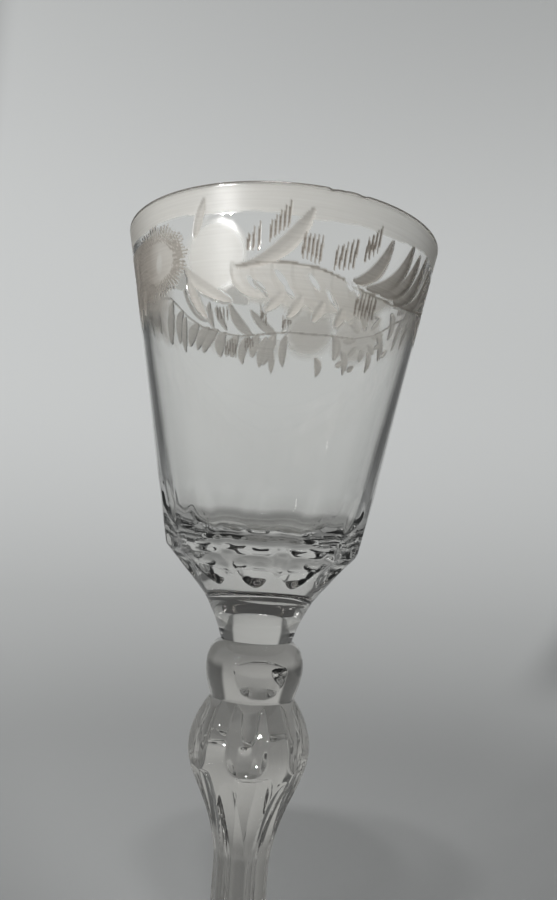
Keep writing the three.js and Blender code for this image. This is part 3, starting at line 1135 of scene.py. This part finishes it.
# %% [markdown]
# ## Where the finish goes
# The matte and the grime of the border become attributes of the mesh, which the bowl's material reads. The
# lip is a little matte too, but not its lowest row: on the inside the next row is at the floor, and a value
# there would spread over the whole wall.

# %% Hand the finish to the material
lip_matte = 0.35
for name, values in (("matte", garland.matte), ("dark", garland.grime)):
    layer = bowl.data.attributes.new(name, "FLOAT", "POINT")
    full = np.where(places[:, 2] > rim_top - 0.98 * lip, lip_matte, 0.0)
    full[border] = values
    layer.data.foreach_set("value", full)

# %% [markdown]
# ## Finishes and places in the frame
# Faces that meet at less than 32 degrees are shaded as one, which keeps the crease at the bowl's corner. In
# the border even steep strokes are smooth. Each piece takes the place of the plain solid of the same name.

# %% Dress the pieces
dress(foot, clear_glass, "foot")
dress(stem, clear_glass, "baluster_stem")
dress(knop, clear_glass, "knop")
dress(bowl, bowl_glass, "bowl")
sharp = bowl.data.attributes["sharp_edge"]
ends = np.empty(len(bowl.data.edges) * 2, int)
bowl.data.edges.foreach_get("vertices", ends)
flags = np.empty(len(bowl.data.edges), bool)
sharp.data.foreach_get("value", flags)
flags &= ~(border[ends[0::2]] & border[ends[1::2]])
sharp.data.foreach_set("value", flags)

# %% [markdown]
# ## The tone of a pale room
# Glass shows little but its surroundings, so the room matters more than the lamps. It is a pale sheet all
# round the goblet, and its glow is painted light and shade: lightest at the height of the bowl, lighter on
# the left than on the right, more so higher up, as if lit from the upper left, and darker towards the floor
# and at the top. On the left and the right it has a darker band of painted shade, which draws the lines in
# the facets. A wall lit by lamps alone would need much light, which would burn out on the glass, so the sheet
# gives off part of its tone. The tone depends on the direction from the goblet's axis, and it is the same
# whether it is seen directly, in a reflection or through the glass.

# %% The tone of the room
room_middle = (0, 0, 0.12)
floor_tone = 0.24
wall_tone = 0.64
upper_painted_shade = 0.2
floor_to_wall = (-0.48, 0.2)
upper_wall = (0.33, 0.83)
foot_of_wall = (-0.3, -0.08)
wall_band = (0.42, 0.52)
floor_band = (0.5, 1.2)
band_end = (1.0, 1.35)
wall_band_painted_shade = 0.85
floor_band_painted_shade = 0.3
painted_side_light_limit = 0.4


def smooth(value, span, start, end):
    """Goes softly from start to end while the value crosses the span."""
    settings = {"interpolation_type": "SMOOTHSTEP"}
    inputs = {0: value, 1: span[0], 2: span[1], 3: start, 4: end}
    return add_node(value.tree, "MapRange", settings, inputs)


def painted_room_tone(tree):
    """The sheet's painted light and shade in each direction from the middle of the room."""
    place = add_node(tree, "TexCoord", {}, {}, "Object")
    offset = {0: place, 1: room_middle}
    from_middle = add_node(tree, "VectorMath", {"operation": "SUBTRACT"}, offset)
    towards = add_node(tree, "VectorMath", {"operation": "NORMALIZE"}, {0: from_middle})
    x, y, z = parts_of(tree, towards)
    aside = x.maths("ARCTAN2", y).maths("ABSOLUTE")
    # Painted light: the tone is lighter on the left and darker on the right, more so higher up, as if lit
    # from the upper left.
    lean = x.maths("MINIMUM", painted_side_light_limit).maths("MAXIMUM", -painted_side_light_limit)
    # Painted shade: the tone darkens towards the floor and towards the top of the wall.
    above = smooth(z, upper_wall, 0.0, upper_painted_shade)
    tone = smooth(z, floor_to_wall, floor_tone, wall_tone) - above - lean * (above * 0.7 + 0.09)
    on_wall = smooth(z, foot_of_wall, 0.0, 1.0)
    # Painted shade: darker bands on the left and the right of the wall and the floor.
    on_sides = smooth(aside, wall_band, 0.0, wall_band_painted_shade) * on_wall
    on_floor = smooth(aside, floor_band, 0.0, floor_band_painted_shade) * (1 - on_wall)
    darker = (on_sides + on_floor) * smooth(aside, band_end, 1.0, 0.1)
    return tone * (1 - darker)


# %% [markdown]
# ## The sheet and the lamps
# The wall and floor are one spun sheet with a rounded corner, open above, where the world is dark. The
# sheet's own light is seen by the camera, in reflections and through glass, and lights nothing else. Under it
# lies plain paint, which takes the light of the lamps, so the floor keeps the goblet's shadow. The lamps are
# small, as windows across a room are, and give the sparks on the ridges.

# %% The stage
room_radius = 1.5
room_height = 1.5
cove = 0.5
below_foot = 0.0001
glow_share = 0.8
paint_colour = (0.5, 0.51, 0.51, 1)
dark_ceiling = (0.06, 0.06, 0.06, 1)


def make_backdrop():
    material, tree = new_material("pale_backdrop")
    tone = painted_room_tone(tree)
    paths = tree.nodes.new("ShaderNodeLightPath")
    looks = Wire(tree, paths.outputs["Is Camera Ray"])
    looks = looks.maths("MAXIMUM", Wire(tree, paths.outputs["Is Glossy Ray"]))
    looks = looks.maths("MAXIMUM", Wire(tree, paths.outputs["Is Transmission Ray"]))
    colour = add_node(tree, "CombineColor", {}, {0: tone * 0.98, 1: tone, 2: tone * 0.995})
    glow = add_node(tree, "Emission", {}, {"Color": colour, "Strength": 1.0})
    paint = add_node(tree, "BsdfDiffuse", {}, {"Color": paint_colour})
    sheet = add_node(tree, "MixShader", {}, {0: looks * glow_share, 1: paint, 2: glow})
    finish_material(tree, sheet)
    profile = chain(
        (0, 0),
        (0.2, 0),
        (room_radius - cove, 0),
        round_points((room_radius - cove, 0), (room_radius, 0), (room_radius, cove), 24),
        (room_radius, room_height),
    )
    room = blow("backdrop", profile - np.array([0, below_foot]), 128)
    only(room)
    bpy.ops.object.shade_smooth()
    room.data.materials.append(material)


make_backdrop()

world = bpy.data.worlds.new("studio")
bpy.context.scene.world = world
world.use_nodes = True
tree = world.node_tree
tree.nodes.clear()
seen = add_node(tree, "Background", {}, {"Color": dark_ceiling, "Strength": 1.0})
out = tree.nodes.new("ShaderNodeOutputWorld")
tree.links.new(seen.socket, out.inputs["Surface"])
lamp_target = Vector((0, 0, 0.1))


def lamp(name, place, size, power):
    data = bpy.data.lights.new(name, "AREA")
    data.size = size
    data.energy = power
    light = bpy.data.objects.new(name, data)
    bpy.context.scene.collection.objects.link(light)
    light.location = place
    light.rotation_mode = "QUATERNION"
    light.rotation_quaternion = (lamp_target - Vector(place)).to_track_quat("-Z", "Y")
    light.visible_camera = False


lamp("ceiling_left", (-0.17, -0.45, 1.1), 0.06, 5.6)
lamp("ceiling_right", (-0.05, -0.45, 1.1), 0.06, 5.6)
lamp("window_left", (-0.714, -0.749, 0.242), 0.025, 2.6)
lamp("window_right", (-0.628, -0.824, 0.23), 0.025, 2.6)
lamp("far_window_left", (-0.843, -0.321, 0.507), 0.02, 0.7)
lamp("far_window_right", (-0.606, -0.63, 0.567), 0.02, 0.7)
